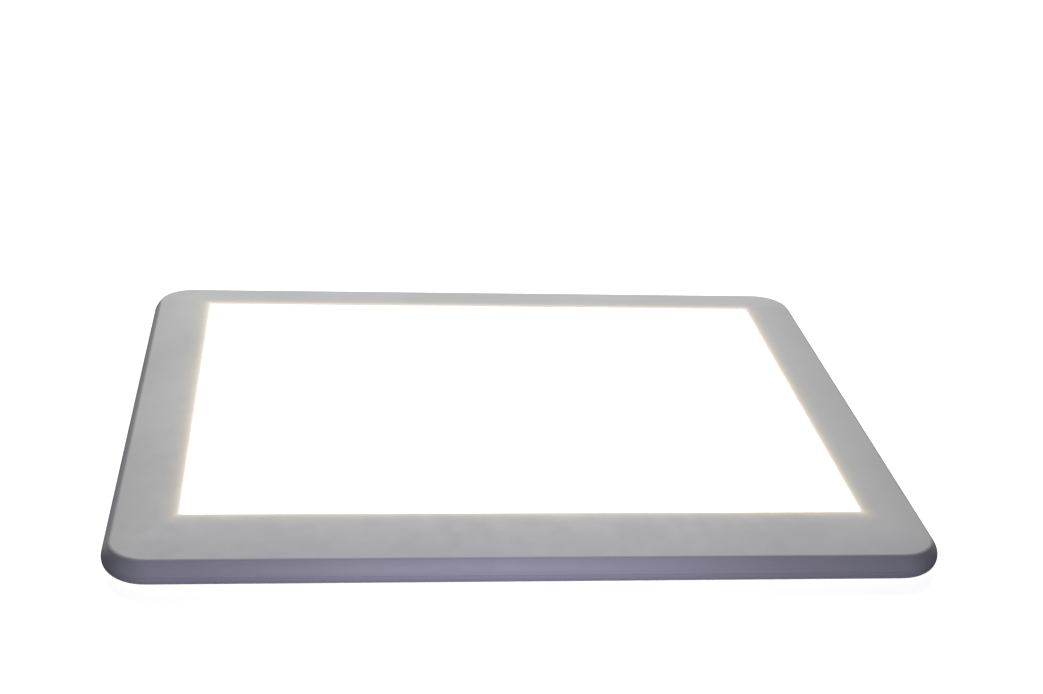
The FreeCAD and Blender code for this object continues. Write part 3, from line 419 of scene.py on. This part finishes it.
# Cast acrylic with printed dots: clear, and the dots show as a regular white screen at 1.5 mm.
guide, tree, place = new_surface("cast_acrylic_with_dots")
screen = add(tree, "TexVoronoi", Vector=place, Scale=1 / 0.0015, Randomness=0.0)
dots = add(tree, "ValToRGB", {"stops": ((0.28, "#FFFFFF"), (0.34, "#EFF4F2"))}, Fac=screen)
gloss = add(tree, "MapRange", _0=screen, _1=0.28, _2=0.34, _3=0.5, _4=0.04)
finish_surface(tree, Base_Color=dots, Roughness=gloss, IOR=1.49, Transmission_Weight=0.9)
dress(guide, "light_guide")

# Matt polyester: milky, because fine beads in its coating scatter the light.
dress(moulded("bead_coated_polyester", "#F4F5F5", "#EDEEEE", 0.62, 0.0002, 0.00001, IOR=1.57),
      "diffuser_film")

# Prism polyester: rows of 50 micron prisms, drawn at 0.8 mm, give it a silky streak. A wave
# texture repeats every wave_period at a scale of one.
prism_pitch = 0.00079
wave_period = math.tau / 20
prisms, tree, place = new_surface("prism_polyester")
rows = add(tree, "TexWave", {"bands_direction": "X"}, Vector=place, Scale=wave_period / prism_pitch)
relief = add(tree, "Bump", Height=rows, Distance=0.00005)
tone = add(tree, "ValToRGB", {"stops": ((0.0, "#E9EBEC"), (1.0, "#F6F7F7"))}, Fac=rows)
finish_surface(tree, Base_Color=tone, Roughness=0.2, IOR=1.57, Normal=relief)
dress(prisms, "prism_film")


# Diffuser and gasket: a sheet of opal acrylic that fills the window, held off the bezel's lip by a
# frame of white foam. It is lit over its whole face, a little more beside the rows of emitters.
window_half_width = 0.0867
window_half_length = 0.1106
panel_light = 2.6

# Closed-cell foam: chalk white, matt, with cells about 0.3 mm across.
foam, tree, place = new_surface("closed_cell_foam")
cells = add(tree, "TexVoronoi", Vector=place, Scale=1 / 0.0003)
tone = add(tree, "ValToRGB", {"stops": ((0.0, "#EDEAE4"), (0.7, "#D9D6CF"))}, Fac=cells)
finish_surface(tree, Base_Color=tone, Roughness=0.9, IOR=1.45,
               Normal=add(tree, "Bump", Height=cells, Distance=0.00005))
dress(foam, "window_gasket")

# Cast opal acrylic: an even white glow with hardly any detail of its own.
opal, tree, place = new_surface("cast_opal_acrylic")
side = add(tree, "Math", {"operation": "ABSOLUTE"},
           _0=add(tree, "SeparateXYZ", Vector=place).outputs["Y"])
share = add(tree, "Math", {"operation": "DIVIDE"}, _0=side, _1=window_half_width)
cloud = add(tree, "TexNoise", Vector=place, Scale=1 / 0.03, Detail=2.0)
level_of_light = add(tree, "Math", {"operation": "MULTIPLY"}, _0=share, _1=cloud)
tint = add(tree, "ValToRGB", {"stops": ((0.0, "#FFFBF2"), (0.6, "#FFFFFF"))}, Fac=level_of_light)
finish_surface(tree, Base_Color=linear("#F7F7F5"), Roughness=0.35, IOR=1.49, Emission_Color=tint,
               Emission_Strength=panel_light)
dress(opal, "diffuser_panel")


# Front bezel: one moulding in white ABS, a frame crowned by a few millimetres that falls from the
# window to a crisp crease, with a wall below that leans out. The lit panel under its lip shines
# into the plastic, and that light is painted here as a glow on the bezel.
bezel_light = "#D6D6D8"
bezel_dark = "#CFCFD2"
bezel_roughness = 0.52
bezel_grain = 0.00030
bezel_grain_depth = 0.000006
painted_glow_reach = 0.0065

# Eroded ABS: the same satin as the shell. Beside the window is a painted warm glow, an emission
# that stands in for the panel's light in the lip. It fades out over 6 mm and is warmer further out,
# because the plastic lets red light travel further than blue.
bezel_abs, tree, place = new_surface("eroded_white_abs_painted_glow")
cloud = add(tree, "TexNoise", Vector=place, Scale=1 / cloud_size, Detail=2.0)
tone = add(tree, "ValToRGB", {"stops": ((0.35, bezel_dark), (0.65, bezel_light))}, Fac=cloud)
patch = add(tree, "TexNoise", Vector=place, Scale=1 / patch_size, Detail=2.0)
gloss = add(tree, "MapRange", _0=patch, _1=0.3, _2=0.7,
            _3=bezel_roughness - gloss_spread, _4=bezel_roughness + gloss_spread)
fine = add(tree, "TexNoise", Vector=place, Scale=1 / bezel_grain, Detail=3.0)
relief = add(tree, "Bump", Height=fine, Distance=bezel_grain_depth)
parts = add(tree, "SeparateXYZ", Vector=place).outputs
# Painted glow: the distance outside the window's edge drives an emission colour that stands in for
# the lit panel's light on the bezel.
past = []
for axis, half in (("X", window_half_length), ("Y", window_half_width)):
    away = add(tree, "Math", {"operation": "ABSOLUTE"}, _0=parts[axis])
    beyond = add(tree, "Math", {"operation": "SUBTRACT"}, _0=away, _1=half)
    past.append(add(tree, "Math", {"operation": "MAXIMUM"}, _0=beyond, _1=0.0))
outside = add(tree, "VectorMath", {"operation": "LENGTH"},
              _0=add(tree, "CombineXYZ", X=past[0], Y=past[1])).outputs["Value"]
fade = add(tree, "MapRange", _0=outside, _1=0.0, _2=painted_glow_reach, _3=0.0, _4=1.0)
painted_glow = add(tree, "ValToRGB", {"stops": (
    (0.0, (0.50, 0.43, 0.33, 1)), (0.10, (0.34, 0.27, 0.18, 1)), (0.20, (0.20, 0.15, 0.075, 1)),
    (0.40, (0.085, 0.064, 0.022, 1)), (0.62, (0.032, 0.025, 0.006, 1)), (1.0, (0, 0, 0, 1)))},
    Fac=fade)
finish_surface(tree, Base_Color=tone, Roughness=gloss, Normal=relief, IOR=abs_index,
               Emission_Color=painted_glow, Emission_Strength=1.0)
dress(bezel_abs, "front_bezel")


# Floor and lights: a plain white floor that is bright enough to read as a blank page, one large
# soft light overhead and one underneath, both from behind, a small cool one in front of the near
# wall, and a dim room. From below, the floor lets the view and the light through.
floor_shine = 0.85
floor_size = 8.0
room_light = 0.24
room_colour = (0.355, 0.365, 0.445, 1)
floor_material, tree, place = new_surface("floor")
paper = add(tree, "BsdfPrincipled", Base_Color=linear("#FFFFFF"), Roughness=0.9,
            Emission_Color=(1, 1, 1, 1), Emission_Strength=floor_shine)
underside = add(tree, "NewGeometry").outputs["Backfacing"]
add(tree, "OutputMaterial", Surface=add(tree, "MixShader", _0=underside, _1=paper,
                                        _2=add(tree, "BsdfTransparent")))
bpy.ops.mesh.primitive_plane_add(size=floor_size)
floor = bpy.context.object
floor.name = "floor"
floor.data.materials.append(floor_material)
floor.visible_diffuse = False
floor.visible_glossy = False
floor.visible_shadow = False


def softbox(name, place, aim, size, power, colour):
    """Rectangular soft light that points at a place."""
    data = bpy.data.lights.new(name, "AREA")
    data.shape = "RECTANGLE"
    data.size, data.size_y = size
    data.energy = power
    data.color = linear(colour)[:3]
    light = bpy.data.objects.new(name, data)
    light.location = place
    light.rotation_euler = (Vector(aim) - Vector(place)).to_track_quat("-Z", "Y").to_euler()
    light.visible_camera = False
    bpy.context.collection.objects.link(light)


middle_of_case = (0, 0, 0)
middle_of_wall = (-0.016, -0.11, 0.006)
softbox("overhead", (0.07, 1.35, 1.15), middle_of_case, (1.6, 1.0), 26.4, "#FFFEF8")
softbox("underneath", (0.2, 1.1, -0.9), middle_of_case, (1.2, 1.2), 14.0, "#FFFFFF")
softbox("front", (-0.016, -0.245, 0.028), middle_of_wall, (0.12, 0.04), 0.088, "#E3DCFB")

world = bpy.data.worlds.new("world")
world.use_nodes = True
room = world.node_tree.nodes["Background"].inputs
room["Color"].default_value = room_colour
room["Strength"].default_value = room_light
bpy.context.scene.world = world
bpy.context.scene.view_settings.view_transform = "Standard"
